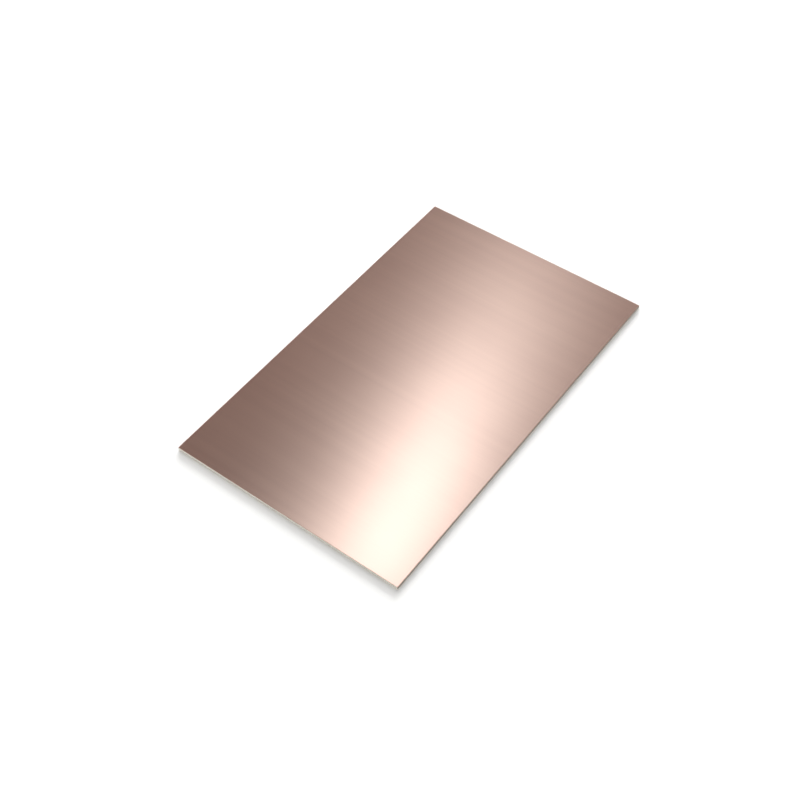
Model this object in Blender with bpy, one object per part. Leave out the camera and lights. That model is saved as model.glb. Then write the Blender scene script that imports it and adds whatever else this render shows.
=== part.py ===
"""Copper clad board: a double-sided glass-epoxy blank in the 160 x 100 mm Eurocard format.

Three bonded layers make the board: a glass-epoxy core and a 35 micron copper foil on each of
its faces. Cutting the board to size rolls each foil over the core's edge and leaves the foils
and the core flush on all four sides. The section of that rolled edge is a pair of arcs about
one centre, the core's own and the foil's outer one, and both stop at the side of the board.

Sizes are in metres. The board lies on the XY plane, centred on Z, with its long side along X
and its underside at z = 0.
"""

import math

import bmesh
import bpy

MM = 0.001

# The three layers.
BOARD_LENGTH = 160.0 * MM
BOARD_WIDTH = 100.0 * MM
CORE_THICKNESS = 1.53 * MM
FOIL_THICKNESS = 0.035 * MM

# The rolled edge: the core's radius under the foil, and how far the foil turns down over it.
EDGE_RADIUS = 0.2 * MM
EDGE_TURN = math.radians(50.0)
EDGE_SEGMENTS = 4

# Finishes: linear colour, metallic and roughness.
FINISHES = {
    "copper": ((0.93, 0.64, 0.54), 1.0, 0.30),
    "glass_epoxy": ((0.52, 0.47, 0.36), 0.0, 0.60),
}

MID_HEIGHT = FOIL_THICKNESS + CORE_THICKNESS / 2.0

# The arcs' shared centre, as a distance in from the board's side and above its middle.
ARC_INSET = EDGE_RADIUS * math.sin(EDGE_TURN)
ARC_HEIGHT = CORE_THICKNESS / 2.0 - EDGE_RADIUS

FOIL_RADIUS = EDGE_RADIUS + FOIL_THICKNESS
FOIL_TURN = math.asin(ARC_INSET / FOIL_RADIUS)

# Where each arc meets the side, above the board's middle: the core's edge line and the foil's.
CORE_LINE = ARC_HEIGHT + EDGE_RADIUS * math.cos(EDGE_TURN)
FOIL_LINE = ARC_HEIGHT + FOIL_RADIUS * math.cos(FOIL_TURN)


def clear_scene():
    """Remove every object, so that the file holds only the board."""
    for obj in list(bpy.data.objects):
        bpy.data.objects.remove(obj, do_unlink=True)


def new_finish(name):
    """A Principled BSDF material from the table of finishes."""
    colour, metallic, roughness = FINISHES[name]
    material = bpy.data.materials.new(name)
    material.use_nodes = True
    shader = material.node_tree.nodes["Principled BSDF"]
    shader.inputs["Base Color"].default_value = (*colour, 1.0)
    shader.inputs["Metallic"].default_value = metallic
    shader.inputs["Roughness"].default_value = roughness
    material.diffuse_color = (*colour, 1.0)
    return material


def slab(thickness):
    """A plain block of the board's outline, centred on the origin."""
    bm = bmesh.new()
    bmesh.ops.create_cube(bm, size=1.0)
    bmesh.ops.scale(bm, vec=(BOARD_LENGTH, BOARD_WIDTH, thickness), verts=bm.verts)
    bm.normal_update()
    return bm


def face_towards(bm, side):
    """The slab's upper face for side 1, and its lower face for side -1."""
    return next(face for face in bm.faces if face.normal.z * side > 0.5)


def arc_steps(radius, turn):
    """The (inward, upward) steps of an arc from the board's side to its flat face."""
    angles = [turn * (1.0 - i / EDGE_SEGMENTS) for i in range(EDGE_SEGMENTS + 1)]
    return [
        (radius * (math.sin(a) - math.sin(b)), radius * (math.cos(b) - math.cos(a)))
        for a, b in zip(angles, angles[1:])
    ]


def roll_edge(bm, face, radius, turn, outwards):
    """Inset a face once for each step of an arc, raising it (1) or sinking it (-1).

    Each inset is a rectangle inside the last, so the rolled edges mitre at the corners.
    """
    for inward, upward in arc_steps(radius, turn):
        bmesh.ops.inset_individual(
            bm,
            faces=[face],
            thickness=inward,
            depth=upward * outwards,
            use_even_offset=True,
        )


def add_piece(bm, name, height, finish, collection):
    """Turn a bmesh into an object at a height above the board's middle."""
    mesh = bpy.data.meshes.new(name)
    bm.to_mesh(mesh)
    bm.free()
    mesh.materials.append(finish)
    piece = bpy.data.objects.new(name, mesh)
    piece.location.z = MID_HEIGHT + height
    collection.objects.link(piece)


def add_core(finish, collection):
    """The glass-epoxy core: a slab as tall as its square side, rolled over on both faces."""
    bm = slab(2.0 * CORE_LINE)
    for side in (1.0, -1.0):
        roll_edge(bm, face_towards(bm, side), EDGE_RADIUS, EDGE_TURN, 1.0)
    add_piece(bm, "laminate_core", 0.0, finish, collection)


def add_foil(name, side, finish, collection):
    """A copper foil: a slab as tall as its cut edge, rolled outside and hollowed to the core.

    side is 1.0 for the upper face and -1.0 for the underside.
    """
    bm = slab(FOIL_LINE - CORE_LINE)
    outer = face_towards(bm, side)
    inner = face_towards(bm, -side)
    roll_edge(bm, outer, FOIL_RADIUS, FOIL_TURN, 1.0)
    roll_edge(bm, inner, EDGE_RADIUS, EDGE_TURN, -1.0)
    add_piece(bm, name, side * (FOIL_LINE + CORE_LINE) / 2.0, finish, collection)


def main():
    clear_scene()
    board = bpy.data.collections.new("copper_clad_board")
    bpy.context.scene.collection.children.link(board)
    copper = new_finish("copper")
    add_core(new_finish("glass_epoxy"), board)
    add_foil("copper_foil_top", 1.0, copper, board)
    add_foil("copper_foil_bottom", -1.0, copper, board)


main()
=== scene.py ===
"""Copper clad board: the finished look of a double-sided glass-epoxy blank.

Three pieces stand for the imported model's layers: the glass-epoxy core with its cut side, and
a brushed copper foil on each face, rolled over the edge. Sizes are in metres. The long side
runs along X, the thickness along Z, and the underside is at z = 0.
"""

import math

import bmesh
import bpy
import numpy as np
from mathutils import Matrix, Vector


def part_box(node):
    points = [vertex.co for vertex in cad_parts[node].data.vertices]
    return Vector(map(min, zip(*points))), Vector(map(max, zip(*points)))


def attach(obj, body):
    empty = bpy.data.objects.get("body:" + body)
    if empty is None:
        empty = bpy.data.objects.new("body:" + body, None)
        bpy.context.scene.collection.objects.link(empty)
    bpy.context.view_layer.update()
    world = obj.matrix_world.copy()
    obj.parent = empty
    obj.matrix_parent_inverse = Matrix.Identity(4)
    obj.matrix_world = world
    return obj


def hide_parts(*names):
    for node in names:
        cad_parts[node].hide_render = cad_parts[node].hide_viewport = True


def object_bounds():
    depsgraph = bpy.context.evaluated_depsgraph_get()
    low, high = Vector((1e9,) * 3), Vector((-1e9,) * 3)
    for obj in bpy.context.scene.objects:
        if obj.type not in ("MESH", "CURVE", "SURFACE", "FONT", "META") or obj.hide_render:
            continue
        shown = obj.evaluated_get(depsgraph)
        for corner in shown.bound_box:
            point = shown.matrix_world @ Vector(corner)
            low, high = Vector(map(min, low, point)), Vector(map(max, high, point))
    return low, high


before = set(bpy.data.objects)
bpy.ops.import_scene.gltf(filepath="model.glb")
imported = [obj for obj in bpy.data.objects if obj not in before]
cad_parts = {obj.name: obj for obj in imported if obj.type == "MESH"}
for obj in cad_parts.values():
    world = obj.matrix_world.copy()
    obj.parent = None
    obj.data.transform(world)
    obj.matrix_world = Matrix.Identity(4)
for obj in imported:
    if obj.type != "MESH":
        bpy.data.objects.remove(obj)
CAD_LOW, CAD_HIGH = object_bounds()

MM = 0.001

# The layers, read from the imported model: the board's half sides and the heights of its faces.
HALF_SIDES = np.array([CAD_HIGH.x - CAD_LOW.x, CAD_HIGH.y - CAD_LOW.y]) / 2.0
CORE_LOW, CORE_HIGH = (corner.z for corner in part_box("laminate_core"))
MID_HEIGHT = (CORE_LOW + CORE_HIGH) / 2.0
CORE_HALF = (CORE_HIGH - CORE_LOW) / 2.0
FOIL_THICKNESS = CAD_HIGH.z - CORE_HIGH

# The rolled edge: the core's radius under the foil, how far the foil turns down over it, the
# share by which its roll wavers, and how far in from the side the painted shade on the rim reaches.
EDGE_RADIUS = 0.2 * MM
EDGE_TURN = math.radians(50.0)
ARC_INSET = EDGE_RADIUS * math.sin(EDGE_TURN)
ARC_HEIGHT = CORE_HALF - EDGE_RADIUS
FOIL_RADIUS = EDGE_RADIUS + FOIL_THICKNESS
FOIL_TURN = math.asin(ARC_INSET / FOIL_RADIUS)
ROLL_UNEVENNESS = 0.15
RIM_SHADE_REACH = 0.2 * MM

# The glass cloth: eight plies of plain weave and its two thread spacings. The cut side is worn
# between the yarns and marked by the cut, which both fade out toward the rolled edges.
PLY_COUNT = 8
PLY_THICKNESS = 2.0 * CORE_HALF / PLY_COUNT
WARP_PITCH = 0.577 * MM
FILL_PITCH = 0.819 * MM
SIDE_WEAR = 0.02 * MM
CUT_MARKS = 0.008 * MM
WEAR_FADE = 0.1 * MM

# The painted shade on the long sides, a dark band over their upper part: the height of its lower
# border, and how much that border wavers and blurs, as shares of the core's half thickness.
SHADE_BAND_LOW = -0.45
SHADE_BAND_WAVER = 0.1
SHADE_BAND_BLUR = 0.2

# The patterns: brush lines in bundles of this spacing and length, which change with depth too,
# clouds of oxide, patches in the rim's painted shade, the rise of the weave, and the pits between
# yarn ends.
BRUSH_SPACING = 3.0 * MM
BRUSH_LENGTH = 300.0 * MM
BRUSH_DEPTH = 0.5 * MM
CLOUD_SIZE = 35.0 * MM
RIM_SHADE_PATCH = 4.0 * MM
WEAVE_RISE = 0.0003 * MM
YARN_PIT = 0.01 * MM

# The grids: steps round the outline, rows of points up the cut side and the least height from
# one to the rolled edge. Points nearer than the weld gap are merged, sides shorter than a
# sliver are dropped, and faces that meet at more than the sharp angle keep a crisp edge.
FOIL_STEP = 0.4 * MM
CORE_STEP = 0.2 * MM
ROWS_PER_PLY = 3
ROW_GAP = 0.02 * MM
WELD_GAP = 0.0001 * MM
SLIVER = 0.00001 * MM
SHARP_ANGLE = math.radians(40.0)

# Wave lengths and seeds of the chance variations round the outline.
ROLL_WAVE = 3.0 * MM
CUT_WAVE = 0.8 * MM
SHADE_BAND_WAVE = 5.0 * MM
REACH_SEED = 5
DROP_SEED = 9
PLY_SEED = 3
CUT_SEED = 4
SHADE_BAND_SEED = 6

# The camera, from the board's corners in the photograph: angles in degrees, lens in
# millimetres.
VIEW_AZIMUTH = -51.90
VIEW_ELEVATION = 50.63
VIEW_ROLL = -1.69
VIEW_DISTANCE = 473.4 * MM
VIEW_AIM = Vector((-14.66 * MM, -2.13 * MM, CAD_HIGH.z))
VIEW_LENS = 56.91

# The studio walls: brightness by height, the sine of the elevation. The warm dark flat faces
# the camera: it is whole up to the first angle off the line of sight, and gone at the second.
PALE_WALL = ((0.0, 1.3), (0.1, 1.3), (0.25, 0.95), (0.5, 0.75), (0.75, 0.65), (1.0, 0.65))
DARK_FLAT = (
    (0.0, 1.3), (0.06, 1.3), (0.14, 0.45), (0.35, 0.2), (0.55, 0.01), (0.7, 0.365),
    (0.8, 0.05), (0.9, 0.0), (1.0, 0.65),
)
NEUTRAL = (1.0, 1.0, 1.0)
WARM_GREY = (1.14, 0.97, 0.9)
FLAT_WHOLE = math.radians(50.0)
FLAT_GONE = math.radians(85.0)

# The key softbox, whose glow lies on the copper: its turn from the camera's azimuth and its
# elevation in degrees, its distance and sides in metres, its brightness and its cool tint.
KEY_TURN = 181.54
KEY_ELEVATION = 58.07
KEY_DISTANCE = 2.5
KEY_WIDTH = 0.07
KEY_HEIGHT = 0.29
KEY_RADIANCE = 41.6
KEY_TINT = "#E8FBFF"

# The two washes over the floor: turn from the camera's azimuth, elevation and spread in
# degrees, and strength.
LOW_WASH = (168.2, 9.7, 39.4, 6.2)
HIGH_WASH = (177.3, 25.0, 74.0, 2.4)

# The floor: how far it reaches each way, in metres, and how far it lies under the board.
FLOOR_REACH = 40.0
FLOOR_GAP = 0.02 * MM

# A colour mix node's sockets, which share their names with those for other data.
MIX_A, MIX_B, MIX_RESULT = 6, 7, 2


def linear(code):
    """Linear RGBA of an sRGB colour such as "#C8A078"."""
    channels = [int(code[i:i + 2], 16) / 255.0 for i in (1, 3, 5)]
    curve = [c / 12.92 if c <= 0.04045 else ((c + 0.055) / 1.055) ** 2.4 for c in channels]
    return (*curve, 1.0)


def direction(azimuth, elevation):
    """From the board toward a camera or light: azimuth 0 is in front (-Y), 90 is to the right."""
    turn, rise = math.radians(azimuth), math.radians(elevation)
    level = math.cos(rise)
    return Vector((math.sin(turn) * level, -math.cos(turn) * level, math.sin(rise)))


def add_node(tree, kind, inputs=None, **settings):
    """Add a node. An input is a value, or the socket of another node that it is linked to."""
    made = tree.nodes.new(kind)
    for name, value in settings.items():
        setattr(made, name, value)
    for name, value in (inputs or {}).items():
        if isinstance(value, bpy.types.NodeSocket):
            tree.links.new(value, made.inputs[name])
        else:
            made.inputs[name].default_value = value
    return made


def new_material(name):
    """An empty node material, with its tree and its Principled BSDF."""
    material = bpy.data.materials.new(name)
    material.use_nodes = True
    tree = material.node_tree
    return material, tree, tree.nodes["Principled BSDF"]


def brushed_copper():
    """Electro-deposited copper foil, brushed across the board and pressed onto glass cloth.

    It gives the eye a satin metal whose highlight spreads along the board, across the brush
    lines, with faint lines of tone and the cloth's weave just showing through.
    """
    material, tree, shader = new_material("brushed_copper_foil")
    place = add_node(tree, "ShaderNodeTexCoord").outputs["Object"]

    # Brush lines in soft bundles, with finer ones between: real lines are finer still, too fine
    # to show here. The two faces lie more than three brush depths apart, so their lines differ.
    lines = add_node(tree, "ShaderNodeMapping", {
        "Vector": place,
        "Scale": (1.0 / BRUSH_SPACING, 1.0 / BRUSH_LENGTH, 1.0 / BRUSH_DEPTH),
    })
    streaks = add_node(tree, "ShaderNodeTexNoise", {
        "Vector": lines.outputs["Vector"], "Scale": 1.0, "Detail": 3.0, "Roughness": 0.6,
    }).outputs["Fac"]

    # Clouds of thin oxide.
    clouds = add_node(tree, "ShaderNodeTexNoise", {
        "Vector": place, "Scale": 1.0 / CLOUD_SIZE, "Detail": 2.0, "Roughness": 0.5,
    }).outputs["Fac"]

    tone = add_node(tree, "ShaderNodeMath", {0: streaks, 1: clouds}, operation="ADD")
    share = add_node(tree, "ShaderNodeMapRange", {
        "Value": tone.outputs[0], "From Min": 0.7, "From Max": 1.3,
    })
    copper = add_node(tree, "ShaderNodeMix", {
        "Factor": share.outputs["Result"], MIX_A: linear("#F6CCBE"), MIX_B: linear("#FED4C5"),
    }, data_type="RGBA").outputs[MIX_RESULT]

    # Painted shade on the rolled rim, which darkens it a little and reaches in unevenly.
    rim = add_node(tree, "ShaderNodeUVMap", uv_map="rim").outputs["UV"]
    patches = add_node(tree, "ShaderNodeMapping", {
        "Vector": rim, "Scale": (0.0, 1.0 / RIM_SHADE_PATCH, 1.0),
    })
    rim_shade_noise = add_node(tree, "ShaderNodeTexNoise", {
        "Vector": patches.outputs["Vector"], "Scale": 1.0, "Detail": 3.0, "Roughness": 0.6,
    }).outputs["Fac"]
    inset = add_node(tree, "ShaderNodeSeparateXYZ", {"Vector": rim}).outputs["X"]
    depth = add_node(tree, "ShaderNodeMath", {
        0: rim_shade_noise, 1: -RIM_SHADE_REACH, 2: inset,
    }, operation="MULTIPLY_ADD")
    rim_shade = add_node(tree, "ShaderNodeMapRange", {
        "Value": depth.outputs[0],
        "From Min": -0.5 * RIM_SHADE_REACH, "From Max": 0.5 * RIM_SHADE_REACH, "To Min": 0.15, "To Max": 0.0,
    }, interpolation_type="SMOOTHSTEP")
    colour = add_node(tree, "ShaderNodeMix", {
        "Factor": rim_shade.outputs["Result"], MIX_A: copper, MIX_B: linear("#6B5548"),
    }, data_type="RGBA")
    tree.links.new(colour.outputs[MIX_RESULT], shader.inputs["Base Color"])

    gloss = add_node(tree, "ShaderNodeMapRange", {
        "Value": streaks, "From Min": 0.3, "From Max": 0.7, "To Min": 0.291, "To Max": 0.297,
    })
    tree.links.new(gloss.outputs["Result"], shader.inputs["Roughness"])

    # The weave: a yarn's rise and fall each way, multiplied, gives the crossings of a plain
    # weave, which stand about a third of a micron proud.
    across = add_node(tree, "ShaderNodeSeparateXYZ", {"Vector": place})
    swells = []
    for axis, pitch in (("X", WARP_PITCH), ("Y", FILL_PITCH)):
        phase = add_node(tree, "ShaderNodeMath", {
            0: across.outputs[axis], 1: math.pi / pitch,
        }, operation="MULTIPLY")
        swell = add_node(tree, "ShaderNodeMath", {0: phase.outputs[0]}, operation="COSINE")
        swells.append(swell.outputs[0])
    weave = add_node(tree, "ShaderNodeMath", {0: swells[0], 1: swells[1]}, operation="MULTIPLY")
    bump = add_node(tree, "ShaderNodeBump", {
        "Height": weave.outputs[0], "Strength": 1.0, "Distance": WEAVE_RISE,
    })
    tree.links.new(bump.outputs["Normal"], shader.inputs["Normal"])

    tangent = add_node(tree, "ShaderNodeTangent", direction_type="UV_MAP", uv_map="board")
    tree.links.new(tangent.outputs["Tangent"], shader.inputs["Tangent"])
    shader.inputs["Metallic"].default_value = 1.0
    shader.inputs["Anisotropic"].default_value = 0.767
    return material


def glass_epoxy():
    """FR-4 laminate: woven glass plies in epoxy resin, sheared along and sawn across.

    It gives the eye a matte grey-white side, layered by the plies, with paler cut yarns in
    darker resin, dulled unevenly by dust, and a dark band of painted shade, streaked upright,
    over the upper part of the long sides.
    """
    material, tree, shader = new_material("cut_glass_epoxy")
    cloth = add_node(tree, "ShaderNodeUVMap", uv_map="cloth").outputs["UV"]

    # One cell for each yarn's cut end: a pitch wide and a ply high, as the UV map counts them.
    ends = add_node(tree, "ShaderNodeTexVoronoi", {
        "Vector": cloth, "Scale": 1.0, "Randomness": 0.35,
    })
    resin = add_node(tree, "ShaderNodeMapRange", {
        "Value": ends.outputs["Distance"], "From Min": 0.3, "From Max": 0.6,
    }, interpolation_type="SMOOTHSTEP")
    cut = add_node(tree, "ShaderNodeMix", {
        "Factor": resin.outputs["Result"], MIX_A: linear("#ECEAE0"), MIX_B: linear("#C8C6B9"),
    }, data_type="RGBA")

    # Dust of cutting and handling, in patches about eight yarns long.
    patches = add_node(tree, "ShaderNodeMapping", {"Vector": cloth, "Scale": (0.12, 0.4, 1.0)})
    dust = add_node(tree, "ShaderNodeTexNoise", {
        "Vector": patches.outputs["Vector"], "Scale": 1.0, "Detail": 4.0, "Roughness": 0.6,
    }).outputs["Fac"]
    dull = add_node(tree, "ShaderNodeMix", {
        "Factor": dust, MIX_A: linear("#ACAA9E"), MIX_B: linear("#F0EEE5"),
    }, data_type="RGBA")
    dusty = add_node(tree, "ShaderNodeMix", {
        "Factor": 0.35, MIX_A: cut.outputs[MIX_RESULT], MIX_B: dull.outputs[MIX_RESULT],
    }, data_type="RGBA")

    # Painted shade: a dark band over the upper part of the long sides, streaked upright in lines
    # about a fifth of a yarn apart.
    shade_band_uv = add_node(tree, "ShaderNodeUVMap", uv_map="shear").outputs["UV"]
    painted_shade = add_node(tree, "ShaderNodeSeparateXYZ", {"Vector": shade_band_uv}).outputs["X"]
    upright = add_node(tree, "ShaderNodeMapping", {"Vector": cloth, "Scale": (5.0, 0.1, 1.0)})
    upright_streaks = add_node(tree, "ShaderNodeTexNoise", {
        "Vector": upright.outputs["Vector"], "Scale": 1.0, "Detail": 3.0, "Roughness": 0.7,
    })
    shade_strength = add_node(tree, "ShaderNodeMapRange", {
        "Value": upright_streaks.outputs["Fac"], "From Min": 0.3, "From Max": 0.7, "To Min": 0.7,
    })
    shade_cover = add_node(tree, "ShaderNodeMath", {
        0: painted_shade, 1: shade_strength.outputs["Result"],
    }, operation="MULTIPLY")
    with_painted_shade = add_node(tree, "ShaderNodeMix", {
        "Factor": shade_cover.outputs[0], MIX_A: dusty.outputs[MIX_RESULT], MIX_B: linear("#504D46"),
    }, data_type="RGBA")
    tree.links.new(with_painted_shade.outputs[MIX_RESULT], shader.inputs["Base Color"])

    wear = add_node(tree, "ShaderNodeMapRange", {"Value": dust, "To Min": 0.5, "To Max": 0.75})
    tree.links.new(wear.outputs["Result"], shader.inputs["Roughness"])
    bump = add_node(tree, "ShaderNodeBump", {
        "Height": ends.outputs["Distance"], "Strength": 1.0, "Distance": YARN_PIT,
    }, invert=True)
    tree.links.new(bump.outputs["Normal"], shader.inputs["Normal"])
    shader.inputs["IOR"].default_value = 1.55
    return material


def outline(step):
    """The unit square's outline, counter-clockwise seen from above, and how far it has run.

    Each side is divided evenly, into steps of about the given length on the real board, and
    the last point is the first again. The run is given as a distance, and as a count of the
    yarns that the sides cut: each step over the pitch of that side's yarns.
    """
    counts = np.ceil(2.0 * HALF_SIDES / step).astype(int)
    along = [np.linspace(-1.0, 1.0, count, endpoint=False) for count in counts]
    front = np.stack([along[0], np.full(counts[0], -1.0)], axis=1)
    right = np.stack([np.full(counts[1], 1.0), along[1]], axis=1)
    ring = np.concatenate([front, right, -front, -right, front[:1]])
    moves = np.abs(np.diff(ring, axis=0)) * HALF_SIDES
    pitches = ((1.0, 1.0), (WARP_PITCH, FILL_PITCH))
    runs = [(moves / pitch).sum(axis=1).cumsum() for pitch in pitches]
    return ring, *(np.concatenate([[0.0], run]) for run in runs)


def waver(columns, length, seed):
    """Smooth chance variation round the outline, between about -1 and 1, that closes on itself.

    It is a sum of whole waves with chance phases, which weaken past the given wave length.
    """
    chance = np.random.default_rng(seed)
    turns = np.arange(1, columns // 4)
    way_round = 4.0 * HALF_SIDES.sum()
    weight = np.exp(-turns * length / way_round)
    angle = np.linspace(0.0, 2.0 * math.pi, columns)
    spectrum = weight * np.exp(2j * math.pi * chance.random(len(turns)))
    waves = np.real(np.exp(1j * np.outer(angle, turns)) @ spectrum)
    return waves / np.abs(waves).max()


def arc(radius, turn, steps):
    """Inset and height above mid-plane along an arc, from the board's side to its flat face."""
    angle = np.linspace(turn, 0.0, steps + 1)[:, None]
    return ARC_INSET - radius * np.sin(angle), ARC_HEIGHT + radius * np.cos(angle)


def flat_insets(count):
    """Insets across a flat face, from its rolled edge to the middle line, ever further apart."""
    return np.geomspace(ARC_INSET, HALF_SIDES[1], count + 1)[1:, None]


def all_round(ring, parts):
    """A profile's parts, one after another, given at every point of the outline."""
    return np.concatenate([part + np.zeros(len(ring)) for part in parts])


def carry_round(name, ring, inset, height):
    """A surface: a profile carried round the board, meeting itself on the middle line.

    A point is the unit square's outline times the half sides less the inset, so the corners
    are mitred. The profile is given as an inset and a height for each of its points, and runs
    from the lower face's middle line out to the side and back to the upper face's.
    """
    flat = ring * (HALF_SIDES - inset[..., None])
    points = np.concatenate([flat, MID_HEIGHT + height[..., None]], axis=2)
    index = np.arange(inset.size).reshape(inset.shape)
    quads = np.stack([index[:-1, :-1], index[:-1, 1:], index[1:, 1:], index[1:, :-1]], axis=2)
    mesh = bpy.data.meshes.new(name)
    mesh.from_pydata(points.reshape(-1, 3).tolist(), [], quads.reshape(-1, 4).tolist())
    return mesh


def set_uv(mesh, name, uv):
    """A UV map that gives each of the grid's points its own place."""
    corners = np.empty(len(mesh.loops), dtype=int)
    mesh.loops.foreach_get("vertex_index", corners)
    layer = mesh.uv_layers.new(name=name)
    layer.data.foreach_set("uv", uv.reshape(-1, 2)[corners].ravel())


def add_piece(mesh, material, node):
    """Close a finished mesh where its grid meets itself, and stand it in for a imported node."""
    bm = bmesh.new()
    bm.from_mesh(mesh)
    bmesh.ops.remove_doubles(bm, verts=bm.verts, dist=WELD_GAP)
    bmesh.ops.dissolve_degenerate(bm, edges=bm.edges, dist=SLIVER)
    bm.to_mesh(mesh)
    bm.free()
    mesh.shade_smooth()
    mesh.set_sharp_from_angle(angle=SHARP_ANGLE)
    mesh.materials.append(material)
    piece = bpy.data.objects.new(mesh.name, mesh)
    bpy.context.scene.collection.objects.link(piece)
    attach(piece, "root")
    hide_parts(node)


def add_foil(name, side, material, node):
    """A foil: flat and rolled inside against the core, cut flush, and rolled outside.

    The outer roll is an arc about the inner one's centre, whose reach and drop waver by a few
    hundredths of a millimetre round the board. side is 1 for the upper face and -1 for the
    underside. The map "board" lays the profile out flat from its last point, and the map "rim"
    gives a point's inset and its run round the outline.
    """
    ring, run, _ = outline(FOIL_STEP)
    reach, drop = (
        1.0 + ROLL_UNEVENNESS * waver(len(ring), ROLL_WAVE, seed + side)
        for seed in (REACH_SEED, DROP_SEED)
    )
    inner_inset, inner_height = arc(EDGE_RADIUS, EDGE_TURN, steps=6)
    outer_inset, outer_height = arc(FOIL_RADIUS, FOIL_TURN, steps=8)
    face = CORE_HALF + FOIL_THICKNESS
    flat = flat_insets(count=8)
    inset = all_round(ring, [flat[::-1], inner_inset[::-1], outer_inset * reach, flat])
    height = all_round(ring, [
        np.full_like(flat, CORE_HALF), inner_height[::-1],
        face - (face - outer_height) * drop, np.full_like(flat, face),
    ])
    if side < 0:
        inset, height = inset[::-1], -height[::-1]
    mesh = carry_round(name, ring, inset, height)
    steps = np.hypot(np.diff(inset, axis=0), np.diff(height, axis=0))
    unrolled = inset[-1] - steps[::-1].cumsum(axis=0)[::-1]
    unrolled = np.concatenate([unrolled, inset[-1:]])
    set_uv(mesh, "board", ring * (HALF_SIDES - unrolled[..., None]))
    set_uv(mesh, "rim", np.stack([inset, np.broadcast_to(run, inset.shape)], axis=2))
    add_piece(mesh, material, node)


def worn_side(yarns, plies):
    """How deep the cut side lies behind its plane, by the count of yarns and of plies.

    Between plies and between a ply's yarn ends the resin is worn back: the depth is the wear
    less a lump for each yarn, a squared sine across the ply times a raised cosine along it.
    The upright marks of the saw and the blade are added. The last place is the first again, so
    it gets the same depth.
    """
    chance = np.random.default_rng(PLY_SEED)
    start = chance.random(PLY_COUNT + 1)[np.floor(plies).astype(int)]
    lumps = np.sin(math.pi * plies) ** 2 * (0.5 + 0.5 * np.cos(2.0 * math.pi * (yarns + start)))
    marks = 0.5 + 0.5 * waver(len(yarns), CUT_WAVE, CUT_SEED)
    depth = SIDE_WEAR * (1.0 - lumps) + CUT_MARKS * marks
    depth[:, -1] = depth[:, 0]
    return depth


def add_core(material):
    """The core: flat faces under the foils, rolled edges, and a cut side that shows the plies.

    The map "cloth" counts yarns round the outline and plies up from the lower face. The map of
    the painted shade is 1 in the dark band over the upper part of the long sides, and 0 away
    from it.
    """
    ring, _, yarns = outline(CORE_STEP)
    edge_inset, edge_height = arc(EDGE_RADIUS, EDGE_TURN, steps=4)
    edge = edge_height[0, 0]
    plies = np.arange(0.0, PLY_COUNT, 1.0 / ROWS_PER_PLY)[:, None]
    rise = plies * PLY_THICKNESS - CORE_HALF
    inside = np.abs(rise[:, 0]) < edge - ROW_GAP
    plies, rise = plies[inside], rise[inside]
    fade = np.clip((edge - np.abs(rise)) / WEAR_FADE, 0.0, 1.0)
    flat = flat_insets(count=2)
    inset = all_round(ring, [
        flat[::-1], edge_inset[::-1], worn_side(yarns, plies) * fade, edge_inset, flat,
    ])
    height = all_round(ring, [
        np.full_like(flat, -CORE_HALF), -edge_height[::-1], rise, edge_height,
        np.full_like(flat, CORE_HALF),
    ])
    mesh = carry_round("glass_epoxy_core", ring, inset, height)
    count = [np.broadcast_to(yarns, inset.shape), (height + CORE_HALF) / PLY_THICKNESS]
    set_uv(mesh, "cloth", np.stack(count, axis=2))
    # Painted shade: the dark band over the upper part of the long sides, with a wavering, blurred
    # lower border.
    border = SHADE_BAND_LOW + SHADE_BAND_WAVER * waver(len(ring), SHADE_BAND_WAVE, SHADE_BAND_SEED)
    painted_shade = np.clip((height - border * CORE_HALF) / (SHADE_BAND_BLUR * CORE_HALF), 0.0, 1.0)
    painted_shade = painted_shade * (np.abs(ring[:, 1]) == 1.0)
    set_uv(mesh, "shear", np.stack([painted_shade, np.zeros_like(painted_shade)], axis=2))
    add_piece(mesh, material, "laminate_core")


def add_camera():
    """The camera at the photograph's angle, aimed just short and left of the board's middle."""
    back = direction(VIEW_AZIMUTH, VIEW_ELEVATION)
    camera = bpy.data.objects.new("camera", bpy.data.cameras.new("camera"))
    camera.data.lens = VIEW_LENS
    turn = (-back).to_track_quat("-Z", "Y").to_matrix().to_4x4()
    roll = Matrix.Rotation(math.radians(VIEW_ROLL), 4, "Z")
    camera.matrix_world = Matrix.Translation(VIEW_AIM + back * VIEW_DISTANCE) @ turn @ roll
    bpy.context.scene.collection.objects.link(camera)
    bpy.context.scene.camera = camera


def add_key():
    """The key softbox, a rectangle that faces the board, as bright as the board sees it."""
    lamp = bpy.data.lights.new("key", "AREA")
    lamp.shape = "RECTANGLE"
    lamp.size = KEY_WIDTH
    lamp.size_y = KEY_HEIGHT
    lamp.energy = KEY_RADIANCE * math.pi * KEY_WIDTH * KEY_HEIGHT
    lamp.color = linear(KEY_TINT)[:3]
    back = direction(VIEW_AZIMUTH + KEY_TURN, KEY_ELEVATION)
    turn = back.to_track_quat("Z", "Y").to_matrix().to_4x4()
    box = bpy.data.objects.new("key", lamp)
    box.matrix_world = Matrix.Translation(back * KEY_DISTANCE) @ turn
    box.visible_camera = False
    bpy.context.scene.collection.objects.link(box)


def add_floor_wash(name, turn, elevation, spread, strength):
    """A distant round diffuser, at a turn from the camera's azimuth, for the floor alone."""
    lamp = bpy.data.lights.new(name, "SUN")
    lamp.angle = math.radians(spread)
    lamp.energy = strength
    sun = bpy.data.objects.new(name, lamp)
    back = direction(VIEW_AZIMUTH + turn, elevation)
    sun.matrix_world = back.to_track_quat("Z", "Y").to_matrix().to_4x4()
    bpy.context.scene.collection.objects.link(sun)
    lit = bpy.data.collections.new(name)
    lit.objects.link(bpy.data.objects["floor"])
    sun.light_linking.receiver_collection = lit


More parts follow.
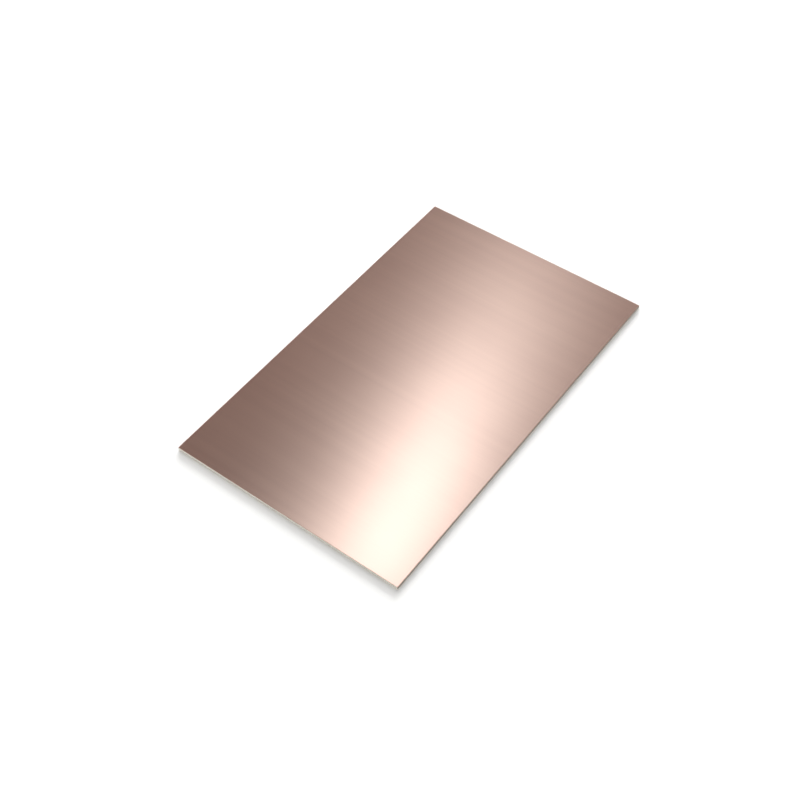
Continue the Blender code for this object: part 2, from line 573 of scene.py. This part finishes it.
def add_ramp(tree, height, levels, tint):
    """A wall's colour at a height: its levels, pairs of a height and a brightness, by its tint."""
    ramp = add_node(tree, "ShaderNodeValToRGB", {"Fac": height})
    stops = ramp.color_ramp.elements
    while len(stops) < len(levels):
        stops.new(1.0)
    for stop, (place, level) in zip(stops, levels):
        stop.position = place
        stop.color = (*(level * channel for channel in tint), 1.0)
    return ramp.outputs["Color"]


def add_world():
    """Pale studio walls that dim upward, with the dark flat behind the key softbox."""
    world = bpy.data.worlds.new("studio")
    bpy.context.scene.world = world
    world.use_nodes = True
    tree = world.node_tree
    place = add_node(tree, "ShaderNodeTexCoord").outputs["Generated"]
    height = add_node(tree, "ShaderNodeSeparateXYZ", {"Vector": place}).outputs["Z"]
    pale = add_ramp(tree, height, PALE_WALL, NEUTRAL)
    dark = add_ramp(tree, height, DARK_FLAT, WARM_GREY)
    level = add_node(tree, "ShaderNodeVectorMath", {
        0: place, 1: (1.0, 1.0, 0.0),
    }, operation="MULTIPLY")
    unit = add_node(tree, "ShaderNodeVectorMath", {0: level.outputs[0]}, operation="NORMALIZE")
    ahead = add_node(tree, "ShaderNodeVectorMath", {
        0: unit.outputs[0], 1: -direction(VIEW_AZIMUTH, 0.0),
    }, operation="DOT_PRODUCT")
    share = add_node(tree, "ShaderNodeMapRange", {
        "Value": ahead.outputs["Value"],
        "From Min": math.cos(FLAT_GONE), "From Max": math.cos(FLAT_WHOLE),
    }, interpolation_type="SMOOTHSTEP")
    walls = add_node(tree, "ShaderNodeMix", {
        "Factor": share.outputs["Result"], MIX_A: pale, MIX_B: dark,
    }, data_type="RGBA")
    tree.links.new(walls.outputs[MIX_RESULT], tree.nodes["Background"].inputs["Color"])


def white_paper():
    """Uncoated paper off a studio roll, which gives the eye an even white without a glow."""
    material, _, shader = new_material("matte_white_paper")
    shader.inputs["Base Color"].default_value = linear("#F4F4F3")
    shader.inputs["Roughness"].default_value = 0.9
    shader.inputs["Specular IOR Level"].default_value = 0.1
    return material


def add_floor():
    """A pale matte floor, just under the board."""
    corners = [
        (x * FLOOR_REACH, y * FLOOR_REACH, -FLOOR_GAP)
        for x, y in ((-1, -1), (1, -1), (1, 1), (-1, 1))
    ]
    mesh = bpy.data.meshes.new("floor")
    mesh.from_pydata(corners, [], [(0, 1, 2, 3)])
    mesh.materials.append(white_paper())
    floor = bpy.data.objects.new("floor", mesh)
    bpy.context.scene.collection.objects.link(floor)


def main():
    """The studio, then the board's three pieces."""
    add_camera()
    add_world()
    add_floor()
    add_key()
    add_floor_wash("low_wash", *LOW_WASH)
    add_floor_wash("high_wash", *HIGH_WASH)
    copper = brushed_copper()
    add_core(glass_epoxy())
    add_foil("brushed_foil_top", 1, copper, "copper_foil_top")
    add_foil("brushed_foil_bottom", -1, copper, "copper_foil_bottom")
    bpy.context.scene.view_settings.view_transform = "Standard"


main()
